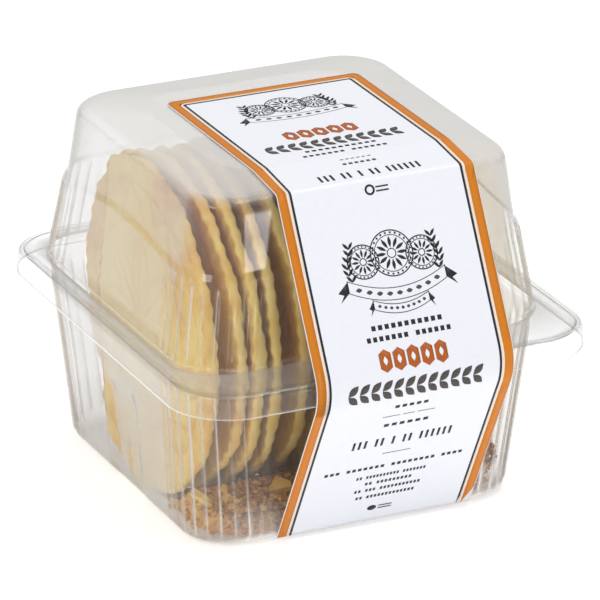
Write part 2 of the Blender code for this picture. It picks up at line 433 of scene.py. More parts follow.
def skin(rings, shut=None):
    """Faces through the rings, and a fan that shuts the last or the first one."""
    verts = np.concatenate(rings)
    faces = tube_faces(len(rings), COLUMNS)
    if shut == "last":
        faces.append(list(range((len(rings) - 1) * COLUMNS, len(rings) * COLUMNS)))
    if shut == "first":
        faces.append(list(reversed(range(COLUMNS))))
    return verts, faces


def store_haze_and_highlight(piece, hazes_and_highlights):
    """Store the veil of each ring of a shell, painted highlights and reflection included, which may vary by
    column.
    """
    store(piece, "haze_and_highlight", np.concatenate([np.broadcast_to(haze_and_highlight, COLUMNS) for haze_and_highlight in hazes_and_highlights]))


def smoothstep(value):
    value = np.clip(value, 0.0, 1.0)
    return value * value * (3 - 2 * value)


# ---------------------------------------------------------------- lid

def flange_ring(pull, height):
    """A ring this far inside the flange's outer edge."""
    return ring(FLANGE_X - pull, FLANGE_Y - pull, FLANGE_RADIUS - pull, height)


def lid_flange():
    """The lid's hanging lip, flared at its foot and rounded over into the flat flange."""
    rings = []
    for share in (0.0, 0.06, 0.12, 0.35, 0.7, 1.0):
        flare = LIP_FLARE * (1.0 - share) ** 2
        drop = SKIRT - share * (SKIRT - EDGE_ROUND)
        rings.append(flange_ring(LIP_FLARE - flare, FLANGE_Z - drop))
    for step in range(1, 9):
        angle = math.pi / 2 * step / 8
        pull = LIP_FLARE + EDGE_ROUND * (1.0 - math.cos(angle))
        rings.append(flange_ring(pull, FLANGE_Z - EDGE_ROUND * (1.0 - math.sin(angle))))
    for pull, drop in ((0.0, 0.0), (1.6, 0.0), (2.1, 0.25), (2.9, SUNK), (3.6, SUNK)):
        rings.append(flange_ring(LIP_FLARE + EDGE_ROUND + pull, FLANGE_Z - drop))
    return rings


def body_ring(half, radius, height, push=0.0):
    return ring(half, half, radius, height, BACKSET, push)


def make_lid():
    slope = (LID_HALF - SHOULDER_HALF) / SHOULDER_RISE
    at_ledge = LID_HALF - slope * LEDGE_RISE
    rings = lid_flange()
    # The lip's lower edge and the middle of the flange's rounded outer edge carry a painted highlight
    hazes_and_highlights = [EDGE_PAINTED_HIGHLIGHT] * 2 + [FLANGE_HAZE] * (len(rings) - 2)
    hazes_and_highlights[9:12] = [EDGE_PAINTED_HIGHLIGHT * 0.3] * 3
    corners = [
        (LID_HALF + 6.0, -SUNK),
        (LID_HALF + 0.1, -SUNK),
        (at_ledge + LEDGE_STEP / 2, LEDGE_RISE),
        (at_ledge - LEDGE_STEP / 2, LEDGE_RISE + LEDGE_HEIGHT),
        (SHOULDER_HALF, SHOULDER_RISE),
        (TOP_HALF, TOP_RISE),
        (TOP_HALF - 12.0, TOP_RISE),
    ]
    radii = (BASE_ROUND, LEDGE_ROUND, LEDGE_ROUND, SHOULDER_ROUND, CREASE_ROUND)
    arch = LEDGE_ARCH * (2.0 * smoothstep(MID_SIDE) - 1.0)
    for half, rise in evenly(rounded_path(corners, radii, 6), 3.0)[2:]:
        if half < TOP_HALF - 9.0:
            break
        radius = np.interp(rise, (0.0, LEDGE_RISE, SHOULDER_RISE - SHOULDER_ROUND),
                           (BODY_RADIUS, BODY_RADIUS - 1.0, SHOULDER_RADIUS + 1.0))
        if half < SHOULDER_HALF - 2.0:
            share = (SHOULDER_HALF - half) / (SHOULDER_HALF - TOP_HALF)
            radius = SHOULDER_RADIUS + (TOP_RADIUS - SHOULDER_RADIUS) * min(share, 1.0)
        radius = min(radius, half * 0.55)
        ribbed = smoothstep((rise + SUNK) / 2.5) * smoothstep((LEDGE_RISE - rise) / 2.5)
        lift = arch * smoothstep((rise - 6.0) / 24.0) * smoothstep((SHOULDER_RISE - 4 - rise) / 16.0)
        rings.append(body_ring(half, radius, FLANGE_Z + rise + lift, FLUTE * ribbed * RIBS))
        # Near the shoulder crease the wall's haze blends into the top's haze and painted reflection
        top = float(smoothstep((rise - SHOULDER_RISE + 4.0) / 3.5))
        # A painted highlight along the foot of the wall, where it meets the flange
        foot = 0.8 * EDGE_PAINTED_HIGHLIGHT * float(smoothstep(1.0 - abs(rise - 0.4) / 0.9))
        # A painted highlight along the flute cusps
        flutes = CUSP_PAINTED_HIGHLIGHT * CUSPS * float(ribbed)
        wall = LID_WALL_HAZE + SIDE_HAZE * SIDEWAYS
        hazes_and_highlights.append(np.maximum(wall + (TOP_HAZE_AND_PAINTED_REFLECTION - wall) * top, foot) + flutes)
    for share in (0.93, 0.8, 0.6, 0.4, 0.2, 0.05):
        half = (TOP_HALF - 9.0) * share
        dish = 0.35 * (1.0 - share * share)
        rings.append(body_ring(half, half * 0.55, FLANGE_Z + TOP_RISE - dish))
        hazes_and_highlights.append(TOP_HAZE_AND_PAINTED_REFLECTION)
    verts, faces = skin(rings, "last")
    lid = mesh_piece("lid_shell", verts, faces, PLASTIC, ["lid"])
    store_haze_and_highlight(lid, hazes_and_highlights)
    thicken(lid, WALL, -1.0)


# ---------------------------------------------------------------- tray

def notch_push(height):
    """The recess in the middle of each side, with fine ribs, at one height."""
    from_middle = REACH + BODY_RADIUS * math.pi / 4 - np.abs(CORNER_DISTANCE)
    across = smoothstep((17.5 - from_middle) / 7.0)
    up = smoothstep((NOTCH_TOP + 3.0 - height) / 14.0) * smoothstep((height - 0.2) / 5.0)
    fine = 0.22 * np.cos(2 * math.pi * from_middle / 2.6) * smoothstep((24.0 - height) / 6.0)
    return -(NOTCH + fine) * across * up


def make_tray():
    rim_z = FLANGE_Z - WALL - GAP - WALL
    slope = (TRAY_HALF - FOOT_HALF) / rim_z
    corners = [
        (FLOOR_HALF - 6.0, 0.0),
        (FOOT_HALF - 0.25, 0.0),
        (TRAY_HALF + slope, rim_z - SUNK),
        (TRAY_HALF + 5.0, rim_z - SUNK),
    ]
    rings, hazes_and_highlights = [], []
    for share in (0.05, 0.3, 0.6, 0.85):
        half = (FLOOR_HALF - 6.0) * share
        rings.append(body_ring(half, half * 0.3, 0.0))
        hazes_and_highlights.append(TRAY_HAZE)
    for half, height in evenly(rounded_path(corners, (FOOT_ROUND, 1.4), 9), 3.0):
        if half > TRAY_HALF + 4.0:
            break
        radius = np.interp(height, (0.0, FOOT_RISE), (FLOOR_RADIUS, BODY_RADIUS))
        ribbed = smoothstep((height - 1.0) / 6.0) * smoothstep((rim_z - 5.0 - height) / 5.0)
        push = FLUTE * ribbed * RIBS + notch_push(height)
        rings.append(body_ring(half, radius, height, push))
        # Extra haze low on the front and back walls, fading out between 8 and 22 mm up
        low_haze = LOW_WALL_HAZE * (1.0 - float(smoothstep((height - 8.0) / 14.0)))
        # A painted highlight along the flute cusps
        flutes = CUSP_PAINTED_HIGHLIGHT * CUSPS * float(ribbed)
        hazes_and_highlights.append(TRAY_HAZE + SIDE_HAZE * SIDEWAYS + low_haze * (1.0 - SIDEWAYS) + flutes)
    inset = WALL + GAP + 2.0
    edge = [flange_ring(inset + pull, rim_z - drop)
            for pull, drop in ((3.6, SUNK), (2.9, SUNK), (2.1, 0.1), (0.0, 0.0))]
    verts, faces = skin(rings + edge, "first")
    tray = mesh_piece("tray_shell", verts, faces, PLASTIC, ["tray"])
    store_haze_and_highlight(tray, hazes_and_highlights[:-2] + [FLANGE_HAZE] * (len(edge) + 2))
    thicken(tray, WALL, -1.0)


# ---------------------------------------------------------------- label

def label_side():
    """The label's inner face seen from the side, from its back end down to the foot."""
    top = FLANGE_Z + TOP_RISE + GAP
    corners = [
        (LABEL_BACK, top),
        (BACKSET - TOP_HALF, top),
        (BACKSET - SHOULDER_HALF - LABEL_LIFT, FLANGE_Z + SHOULDER_RISE + LABEL_LIFT),
        (-FLANGE_Y - LABEL_NOSE, FLANGE_Z - SKIRT / 2),
        LABEL_FOOT,
    ]
    return rounded_path(corners, LABEL_FOLDS, 12)


SIDE = np.array([tuple(point) for point in evenly(label_side(), 2.0)])
SIDE_RUN = np.concatenate([[0.0], np.cumsum(np.linalg.norm(np.diff(SIDE, axis=0), axis=1))])


def side_at(along):
    return np.interp(along, SIDE_RUN, SIDE[:, 0]), np.interp(along, SIDE_RUN, SIDE[:, 1])


def on_label(across, along, lift):
    """Point on the label: across from its middle line, along from its back end."""
    y, z = side_at(along)
    (y_1, z_1), (y_2, z_2) = side_at(along - 0.5), side_at(along + 0.5)
    length = np.hypot(y_2 - y_1, z_2 - z_1)
    out_y, out_z = (z_2 - z_1) / length, (y_1 - y_2) / length
    return (LABEL_MIDDLE + across, y + FLANGE_MIDDLE + out_y * lift, z + out_z * lift)


PAPER_THICK = 0.3
INK_LIFT = 0.02            # the print's underside, over the paper
INK_THICK = 0.03
FOLD_SPANS = ((74.0, 97.0), (159.0, 178.0))   # where the label bends, along its length


def make_label():
    across = np.linspace(-1.0, 1.0, 21)
    rows = []
    for step in range(7):
        angle = math.pi / 2 * step / 6
        rows.append((LABEL_CORNER * (1.0 - math.cos(angle)),
                     LABEL_HALF - LABEL_CORNER * (1.0 - math.sin(angle))))
    rows += [(along, LABEL_HALF) for along in SIDE_RUN if along > LABEL_CORNER + 0.2]
    verts = [on_label(half * share, along, 0.0) for along, half in rows for share in across]
    wide = len(across)
    faces = []
    for row in range(len(rows) - 1):
        for i in range(wide - 1):
            corner = row * wide + i
            faces.append((corner, corner + wide, corner + wide + 1, corner + 1))
    label = mesh_piece("label_strip", verts, faces, PAPER, ["label"])
    thicken(label, PAPER_THICK, 1.0)


def polar(middle, along, reach, angle):
    return middle + reach * math.cos(angle), along + reach * math.sin(angle)


class Print:
    """Flat shapes on the label in one ink, laid out in millimetres and then bent to it."""

    def __init__(self, name, finish):
        self.name = name
        self.finish = finish
        self.bm = bmesh.new()

    def polygon(self, points):
        self.bm.faces.new([self.bm.verts.new((x, y, 0.0)) for x, y in points])

    def bar(self, middle, along, width, height, slant=0.0):
        half, lean = width / 2, slant * height / 2
        self.polygon([(middle - half - lean, along + height / 2), (middle + half - lean, along + height / 2),
                      (middle + half + lean, along - height / 2), (middle - half + lean, along - height / 2)])

    def oval(self, middle, along, width, height, count=20):
        angles = [2 * math.pi * i / count for i in range(count)]
        self.polygon([(middle + width / 2 * math.cos(angle), along + height / 2 * math.sin(angle))
                      for angle in angles])

    def leaf(self, middle, along, length, width, turn, count=7):
        """A pointed leaf: two bowed edges."""
        points = []
        for side in (1, -1):
            for i in range(count):
                share = i / count
                x = side * length * (0.5 - share)
                y = side * width / 2 * math.sin(math.pi * share)
                points.append((middle + x * math.cos(turn) - y * math.sin(turn),
                               along + x * math.sin(turn) + y * math.cos(turn)))
        self.polygon(points)

    def band(self, inner, outer):
        """A closed band between two outlines with as many points."""
        count = len(inner)
        low = [self.bm.verts.new((x, y, 0.0)) for x, y in inner]
        high = [self.bm.verts.new((x, y, 0.0)) for x, y in outer]
        for i in range(count):
            j = (i + 1) % count
            self.bm.faces.new((low[i], low[j], high[j], high[i]))

    def strip(self, lower, upper):
        """An open band between two lines with as many points."""
        low = [self.bm.verts.new((x, y, 0.0)) for x, y in lower]
        high = [self.bm.verts.new((x, y, 0.0)) for x, y in upper]
        for i in range(len(low) - 1):
            self.bm.faces.new((low[i], low[i + 1], high[i + 1], high[i]))

    def ring(self, middle, along, radius, thick, count=40):
        def circle(size):
            return [polar(middle, along, size, 2 * math.pi * i / count) for i in range(count)]
        self.band(circle(radius - thick / 2), circle(radius + thick / 2))

    def finish_piece(self):
        bm = self.bm
        bmesh.ops.triangulate(bm, faces=[f for f in bm.faces if len(f.verts) > 4])
        cuts = [a for a in SIDE_RUN if any(low < a < high for low, high in FOLD_SPANS)]
        for along in cuts:
            bmesh.ops.bisect_plane(bm, geom=bm.verts[:] + bm.edges[:] + bm.faces[:],
                                   plane_co=(0, along, 0), plane_no=(0, 1, 0))
        bm.normal_update()
        bmesh.ops.reverse_faces(bm, faces=[f for f in bm.faces if f.normal.z > 0])
        bm.verts.index_update()
        verts = [on_label(v.co.x, v.co.y, PAPER_THICK + INK_LIFT) for v in bm.verts]
        faces = [[v.index for v in f.verts] for f in bm.faces]
        bm.free()
        thicken(mesh_piece(self.name, verts, faces, self.finish), INK_THICK, 1.0)


def frame_line(edge, corner):
    """The outline at a distance inside the label's sides and back end, open at the foot."""
    half = LABEL_HALF - edge
    points = [(-half, a) for a in reversed(SIDE_RUN) if a > edge + corner]
    for step in range(7):
        angle = math.pi / 2 * step / 6
        points.append((-half + corner * (1 - math.cos(angle)), edge + corner * (1 - math.sin(angle))))
    return points + [(-x, y) for x, y in reversed(points)]


def border(edge, width, corner, name, finish):
    """A printed line of one width round the label's sides and back end."""
    made = Print(name, finish)
    made.strip(frame_line(edge + width, corner), frame_line(edge, corner))
    return made


def arc_line(half, along, sag, count=18):
    """Points of a line that sags in the middle."""
    return [(half * (2 * i / count - 1), along + sag * (1 - (2 * i / count - 1) ** 2))
            for i in range(count + 1)]


def rosette(dark, middle, along, radius):
    """A generic round wafer: rings, petals and rim dots."""
    dark.ring(middle, along, radius, 0.45)
    dark.ring(middle, along, radius * 0.80, 0.28)
    dark.ring(middle, along, radius * 0.20, 0.35, 20)
    for i in range(12):
        angle = 2 * math.pi * i / 12
        dark.leaf(*polar(middle, along, radius * 0.50, angle), radius * 0.50, radius * 0.15, angle)
    for i in range(24):
        angle = 2 * math.pi * (i + 0.5) / 24
        dark.oval(*polar(middle, along, radius * 0.90, angle), radius * 0.10, radius * 0.10, 8)


def emblem(dark, top, bottom, half):
    """Three wafers among ears of grain, over a plain ribbon."""
    middle = (top + bottom) / 2
    radius = (bottom - top) * 0.46
    rosette(dark, 0.0, middle + radius * 0.10, radius)
    for side in (-1, 1):
        rosette(dark, side * half * 0.58, middle + radius * 0.28, radius * 0.74)
        for i in range(6):
            x = side * half * (0.86 + 0.05 * math.sin(i))
            y = bottom - (bottom - top) * 0.13 * (i + 0.6)
            dark.leaf(x + side * 0.9, y, 3.4, 1.1, -side * 0.9)
            dark.leaf(x - side * 0.9, y, 3.4, 1.1, side * 0.9 + math.pi)


def ribbon(dark, grey, half, along, sag, height, tail):
    """A curved ribbon outline with folded dark tails, left blank."""
    for place in (along, along + height):
        upper = arc_line(half, place, sag)
        dark.strip([(x, y + 0.28) for x, y in upper], upper)
    for side in (-1, 1):
        dark.bar(side * half, along + height / 2, 0.3, height)
        dark.polygon([(side * half, along + 0.4), (side * (half + tail), along + height * 0.9),
                      (side * (half + tail * 0.5), along + height * 1.1),
                      (side * (half + tail * 0.9), along + height * 1.7),
                      (side * half, along + height)][::side])
    for i in range(9):
        x = half * (0.8 * i / 4 - 0.8)
        y = along + height / 2 + sag * (1 - (x / half) ** 2)
        grey.leaf(x, y, half * 0.13, height * 0.36, 0.0)


def dashes(ink_print, along, low, high, height, parts):
    """A line of plain bars whose lengths follow the given parts."""
    gap = 1.1
    total = high - low - gap * (len(parts) - 1)
    start = low
    for part in parts:
        width = total * part / sum(parts)
        ink_print.bar(start + width / 2, along, width, height)
        start += width + gap


def tile(x, along, half, shoulder, tip):
    """An upright outline with six corners."""
    return [(x - half, along - shoulder), (x - half, along + shoulder), (x, along + tip),
            (x + half, along + shoulder), (x + half, along - shoulder), (x, along - tip)]


def lozenges(ink_print, along, low, high, height, count):
    """A frieze of bold pointed tiles, each with a diamond left blank in its middle."""
    pitch = (high - low) / count
    w, h = pitch * 0.43, height / 2
    for i in range(count):
        x = low + pitch * (i + 0.5)
        ink_print.band(tile(x, along, w * 0.34, h * 0.10, h * 0.42), tile(x, along, w, h * 0.62, h))


def beads(ink_print, along, low, high, height, groups, fill=0.62):
    """A line of small upright blocks in groups, as plain as a dotted rule."""
    pitch = (high - low) / (sum(groups) + 0.9 * (len(groups) - 1))
    start = low
    for group in groups:
        for _ in range(group):
            ink_print.bar(start + pitch / 2, along, pitch * fill, height)
            start += pitch
        start += pitch * 0.9


def grain_band(ink_print, along, low, high, height, count):
    """A broad plait of slanting leaves."""
    pitch = (high - low) / count
    for i in range(count):
        x = low + pitch * (i + 0.5)
        ink_print.leaf(x, along - height * 0.25, height * 0.72, pitch * 0.62, -0.75)
        ink_print.leaf(x, along + height * 0.25, height * 0.72, pitch * 0.62, 0.75)


def make_prints():
    border(0.25, 3.5, 2.6, "print_border", ORANGE_INK).finish_piece()
    border(3.75, 1.0, 1.2, "print_cream_line", PALE_INK).finish_piece()
    border(4.85, 0.9, 0.6, "print_black_line", BLACK_INK).finish_piece()
    dark = Print("print_black", BLACK_INK)
    grey = Print("print_grey", GREY_INK)
    rust = Print("print_rust", RUST_INK)
    # Top panel
    emblem(dark, 11.5, 28.0, 19.0)
    ribbon(dark, grey, 19.5, 27.5, 2.6, 4.2, 4.0)
    lozenges(rust, 50.5, -15.0, 14.5, 8.6, 5)
    grain_band(grey, 61.2, -27.3, 27.3, 7.2, 12)
    beads(dark, 67.4, -14.8, 14.2, 1.5, (11,))
    beads(dark, 71.6, -17.6, 16.6, 1.5, (7, 6))
    beads(grey, 78.8, -6.5, 6.5, 0.5, (6,))
    beads(grey, 82.2, -7.0, 7.0, 1.3, (6,))
    beads(dark, 90.3, -20.5, 20.5, 4.2, (3, 2, 1, 2, 6), 0.42)
    dark.ring(-3.2, 98.8, 1.6, 0.8, 18)
    dashes(grey, 98.1, -0.8, 4.2, 0.6, (1,))
    dashes(grey, 99.6, -0.8, 4.2, 0.6, (1,))
    # Front panel
    emblem(dark, 112.5, 130.5, 20.0)
    ribbon(dark, grey, 19.3, 129.6, 4.9, 4.4, 4.3)
    ribbon(dark, grey, 11.0, 137.8, 2.6, 3.3, 2.0)
    beads(dark, 147.8, -14.4, 14.4, 1.8, (11,))
    beads(dark, 151.8, -17.0, 17.0, 1.8, (7, 6))
    lozenges(rust, 159.8, -13.8, 13.8, 8.4, 5)
    grain_band(grey, 170.6, -27.0, 27.0, 7.6, 12)
    beads(dark, 179.4, -7.1, 7.1, 1.5, (5,))
    dashes(grey, 184.3, -10.4, 10.4, 0.3, (3, 2, 3))
    beads(dark, 189.2, -9.4, 9.4, 1.5, (6,))
    beads(dark, 198.4, -19.8, 21.0, 4.2, (3, 2, 1, 2, 6), 0.42)
    dashes(dark, 205.4, -5.6, 5.6, 0.3, (1,))
    beads(dark, 212.6, -27.5, 28.6, 1.5, (3, 7, 8, 4))
    beads(dark, 218.0, -13.3, 15.0, 1.5, (2, 10, 7))
    beads(dark, 221.8, -9.0, 10.2, 1.5, (2, 9))
    beads(dark, 225.6, -12.4, 14.5, 1.5, (2, 3, 11))
    beads(dark, 229.6, -11.0, 13.0, 1.5, (2, 13))
    dark.oval(-2.6, 236.6, 3.6, 2.8)
    dashes(grey, 236.0, 0.0, 5.4, 0.6, (1,))
    dashes(grey, 237.4, 0.0, 5.4, 0.6, (1,))
    for made in (dark, grey, rust):
        made.finish_piece()


# ---------------------------------------------------------------- wafers

def ridge(distance, width):
    return np.exp(-(distance / width) ** 2)


def wafer_relief(share, angle):
    """Pressed pattern of a pizzella, as a height from 0 to 1."""
    height = ridge(share, 0.035)
    for circle in (0.10, 0.60, 0.84):
        height = np.maximum(height, ridge(share - circle, 0.012))
    petal = 0.16 + 0.36 * np.abs(np.cos(4 * angle)) ** 0.8
    height = np.maximum(height, ridge(share - petal, 0.016) * (share < 0.60))
    spoke = np.abs(np.sin(4 * angle)) * share
    height = np.maximum(height, ridge(spoke, 0.018) * (share < 0.54) * (share > 0.12))
    lattice_1 = np.abs(np.sin(10 * angle + 9.0 * np.log(np.maximum(share, 0.05))))
    lattice_2 = np.abs(np.sin(10 * angle - 9.0 * np.log(np.maximum(share, 0.05))))
    lattice = np.maximum(ridge(lattice_1, 0.16), ridge(lattice_2, 0.16))
    return np.maximum(height, lattice * (share > 0.60) * (share < 0.84))


def soft_noise(rng, count, low, high):
    """A smooth random function of an angle, as a sum of sines."""
    waves = rng.integers(low, high, count)
    phases = rng.uniform(0, 2 * math.pi, count)
    sizes = rng.uniform(0.4, 1.0, count) / math.sqrt(count)
    return lambda angle: sum(s * np.sin(w * angle + p) for w, p, s in zip(waves, phases, sizes))


HALF_THICK = 1.65
RELIEF = 0.50
RIM_RIBS = 30
RIM_DEPTH = 1.2            # of the rounded rim


def make_wafer(name, node, seed, radial, spokes, broken):
    rng = np.random.default_rng(seed)
    edge_noise = soft_noise(rng, 7, 3, 40)
    thick_noise = soft_noise(rng, 6, 3, 16)
    bend = soft_noise(rng, 4, 2, 4)
    jag = soft_noise(rng, 9, 12, 90)
    turn = rng.uniform(0, 2 * math.pi)
    angle = np.linspace(0, 2 * math.pi, spokes, endpoint=False)
    scallop = 0.5 - 0.5 * np.cos(SCALLOPS * angle)
    reach = WAFER_RADIUS * (0.990 - 0.018 * scallop) + 0.6 * edge_noise(angle)
    reach = np.minimum(reach, WAFER_RADIUS)
    if broken:
        for distance, slant in BREAKS:
            toward = np.cos(angle - math.pi / 2 - math.radians(slant))
            chord = (distance + 0.7 * jag(angle)) / np.maximum(toward, 0.05)
            reach = np.where(toward > 0.2, np.minimum(reach, chord), reach)
    # How far a spoke is cut short by a break; it sets a painted shade along the broken edge
    torn_edge_shade = smoothstep((0.985 * WAFER_RADIUS - reach) / 3.0) if broken else np.zeros(spokes)
    rows, toasts_and_shades = [], []
    inner = 1.0 - np.linspace(1.0, 0.0, radial) ** 1.35
    for face in (1, -1):
        shares = inner if face == 1 else inner[::-1]
        for share in shares:
            rho = share * (reach - RIM_DEPTH)
            true_share = rho / WAFER_RADIUS
            relief = wafer_relief(true_share, angle + turn)
            rim = smoothstep((true_share - 0.84) / 0.10)
            ribs_here = rim * 0.5 * (1 + np.cos(RIM_RIBS * 2 * (angle + turn)))
            lift = HALF_THICK + RELIEF * relief + 0.70 * ribs_here + 0.45 * thick_noise(angle) * rim
            rows.append((rho, face * lift))
            browned = smoothstep((true_share - 0.45) / 0.40) * smoothstep((1.0 - true_share) / 0.06)
            browned = browned * (0.10 if broken and face == -1 else 0.34)
            # Painted shade at the broken edge, in the brown of a toasted rim; raised lines and rims are
            # browner from baking
            toasts_and_shades.append(np.clip(0.9 * torn_edge_shade * smoothstep((share - 0.965) / 0.03) + 0.22 * relief
                                  + browned + 0.12 * thick_noise(angle) * rim, 0, 1))
        if face == 1:
            last = rows[-1][1]
            for step in np.radians((62, 35, 12, -12, -35, -62)):
                rho = reach - RIM_DEPTH + RIM_DEPTH * math.cos(step)
                rows.append((rho, last * math.sin(step)))
                # The broken rim carries the same painted shade
                toasts_and_shades.append(np.clip(0.14 + 0.22 * edge_noise(angle) + 0.7 * torn_edge_shade, 0, 1))
    verts, toast_and_shade = [], []
    for (rho, height), brown in zip(rows, toasts_and_shades):
        rho = np.broadcast_to(rho, spokes)
        warp = 0.45 * (rho / WAFER_RADIUS) ** 2 * bend(angle)
        verts.append(np.stack([rho * np.cos(angle), rho * np.sin(angle), height + warp], 1))
        toast_and_shade.append(brown)
    verts = np.concatenate(verts)
    count = len(rows)
    verts = np.concatenate([verts[:spokes].mean(0)[None], verts[spokes:-spokes],
                            verts[-spokes:].mean(0)[None]])
    toast_and_shade = np.concatenate([[toast_and_shade[0][0]], np.concatenate(toast_and_shade[1:-1]), [toast_and_shade[-1][0]]])

    def joined(index):
        if index < spokes:
            return 0
        if index >= (count - 1) * spokes:
            return len(verts) - 1
        return index - spokes + 1
    tidy = []
    for face in tube_faces(count, spokes, True):
        corners = list(dict.fromkeys(joined(index) for index in face))
        if len(corners) > 2:
            tidy.append(corners)
    place = wafer_place(node)
    verts = np.array([place @ Vector(v) for v in verts])
    piece = mesh_piece(name, verts, tidy, WAFER, [node], 50.0)
    store(piece, "toast_and_shade", toast_and_shade)


def wafer_place(node):
    """Where a wafer stands: its middle from the CAD node's box, its axis from its faces."""
    low, high = (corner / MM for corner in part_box(node))
    middle = Vector(((low.x + high.x) / 2, low.y + (high.z - low.z) / 2, (low.z + high.z) / 2))
    points = np.array([v.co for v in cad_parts[node].data.vertices]) / MM
    _, _, axes = np.linalg.svd(points - points.mean(0), full_matrices=False)
    normal = Vector(axes[2]) * (1 if axes[2][0] > 0 else -1)
    upward = (Vector((0, 0, 1)) - normal * normal.z).normalized()
    across = upward.cross(normal)
    turned = Matrix((-upward, across, normal)).transposed().to_4x4()
    return Matrix.Translation(middle) @ turned


def make_wafers():
    nodes = sorted(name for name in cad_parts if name.startswith("pizzelle_"))
    for number, node in enumerate(nodes):
        shown = number in (0, len(nodes) - 1)
        radial, spokes = (84, 300) if shown else (34, 240)
        make_wafer(f"wafer_{number + 1:02d}", node, 40 + number, radial, spokes, number == 0)


# ---------------------------------------------------------------- crumbs

HEAP_TOP = 18.0            # no crumb lies higher
CRUMB_CLEAR = 2.4          # from the tray's wall
BED_HALF = 57.0            # half the width of the bed of dust under the crumbs
BED_TOP = 9.0              # its height at the tray's front wall
BED_TURNS = (0.66, 0.14)   # how far round the wafers' rims it reaches, in radians
BED_CLEAR = 5.6            # its distance from the tray's wall


def bed_top():
    """Where the bed's top starts at the wafers' rims (y, z), and the y of its front."""
    reach, turn = WAFER_RADIUS + 1.2, BED_TURNS[0]
    front = FLANGE_MIDDLE + BACKSET - (FOOT_HALF - BED_CLEAR)
    return WAFER_Y - reach * math.sin(turn), WAFER_Z - reach * math.cos(turn), front


def tray_room(z, clear):
    """How far the tray's room reaches from its middle at a height, less a clearance, and
    how much its rounded foot takes from that."""
    reach = FOOT_HALF + (z - FOOT_RISE) * 0.08 - clear
    return reach, np.clip((FOOT_ROUND - z) / FOOT_ROUND, 0.0, 1.0) * 2.5


def crumb_template():
    """Points and faces of a plain icosahedron."""
    bm = bmesh.new()
    bmesh.ops.create_icosphere(bm, subdivisions=1, radius=1.0)
    points = np.array([vert.co for vert in bm.verts])
    faces = [[vert.index for vert in face.verts] for face in bm.faces]
    bm.free()
    return points, faces


CRUMB_POINTS, CRUMB_FACES = crumb_template()


def add_crumb(bm, layer, middle, size, rng):
    """A small broken lump."""
    rough = 1.0 + rng.uniform(-0.28, 0.28, (len(CRUMB_POINTS), 1))
    turn = np.array(Matrix.Rotation(rng.uniform(0, 6.28), 3, Vector(rng.normal(size=3)).normalized()))
    points = (CRUMB_POINTS * rng.uniform(0.55, 1.2, 3) * rough) @ turn.T * size / 2
    tone = rng.uniform(0.5, 1.1)
    verts = [bm.verts.new(point) for point in points + np.array(middle)]
    for vert in verts:
        vert[layer] = tone
    for face in CRUMB_FACES:
        bm.faces.new([verts[index] for index in face])


def add_shard(bm, layer, middle, size, rng):
    """A flat broken piece of wafer."""
    count = int(rng.integers(5, 8))
    turn = (Matrix.Rotation(rng.uniform(0, 6.28), 3, "Z")
            @ Matrix.Rotation(rng.uniform(-0.9, 0.9), 3, "X")
            @ Matrix.Rotation(rng.uniform(-0.9, 0.9), 3, "Y"))
    angles = np.sort(rng.uniform(0, 2 * math.pi, count) * 0.35
                     + np.arange(count) * 2 * math.pi / count * 0.65)
    reaches = rng.uniform(0.55, 1.0, count) * size / 2
    tone = rng.uniform(0.1, 0.7)
    rings = []
    for height in (-1.4, 1.4):
        loop = []
        for angle, reach in zip(angles, reaches):
            flat = Vector((reach * math.cos(angle), reach * math.sin(angle), height))
            vert = bm.verts.new(turn @ (flat + Vector(rng.uniform(-0.3, 0.3, 3))) + middle)
            vert[layer] = tone
            loop.append(vert)
        rings.append(loop)
    bm.faces.new(list(reversed(rings[0])))
    bm.faces.new(rings[1])
    for i in range(count):
        j = (i + 1) % count
        bm.faces.new((rings[0][i], rings[0][j], rings[1][j], rings[1][i]))


def crumb_spots(rng, count, sizes, share):
    """Free places between the wafers' rims and the tray, with a size for each."""
    tries = count * 60
    size = rng.uniform(*sizes, tries)
    half = size * share / 2
    x = rng.uniform(-61.0, 61.0, tries)
    # Most lie on the bed's top or against its front
    rim_y, rim_z, front_y = bed_top()
    along = rng.uniform(0.0, 1.35, tries)
    over = np.minimum(along, 1.0)
    fallen = np.maximum(along - 1.0, 0.0) / 0.35
    rise = 0.6 * half + np.abs(rng.normal(size=tries)) * 1.2
    y = rim_y + (front_y - rim_y) * over - np.where(along > 1.0, rise, 0.0)
    z = (rim_z + (BED_TOP - rim_z) * over) * (1.0 - fallen) + np.where(along > 1.0, 0.0, rise)
    # The rest are loose on the floor, or heaped against the wafers' lower rims
    loose = rng.uniform(size=tries)
    y = np.where(loose < 0.2, WAFER_Y - rng.uniform(12.0, 64.0, tries), y)
    z = np.where(loose < 0.2, WALL + 0.1 + half + np.abs(rng.normal(size=tries)) * 4.0, z)
    turn = rng.uniform(0.60, 0.76, tries)
    reach = WAFER_RADIUS + 0.7 + half + np.abs(rng.normal(size=tries)) * 1.5
    y = np.where(loose > 0.75, WAFER_Y - reach * np.sin(turn), y)
    z = np.where(loose > 0.75, WAFER_Z - reach * np.cos(turn), z)
    clear = np.hypot(y - WAFER_Y, z - WAFER_Z) > WAFER_RADIUS + 0.6 + half
    wall, low = tray_room(z, CRUMB_CLEAR + half)
    front = BACKSET + FLANGE_MIDDLE - y
    inside = (np.abs(x) < wall - low) & (front < wall - low)
    bend_x, bend_y = np.abs(x) - wall + FLOOR_RADIUS, front - wall + FLOOR_RADIUS
    inside &= (bend_x < 0) | (bend_y < 0) | (np.hypot(bend_x, bend_y) < FLOOR_RADIUS - low)
    keep = np.flatnonzero(clear & inside & (z > WALL + 0.1 + half) & (z < HEAP_TOP))[:count]
    return [(Vector((x[i], y[i], z[i])), size[i]) for i in keep]


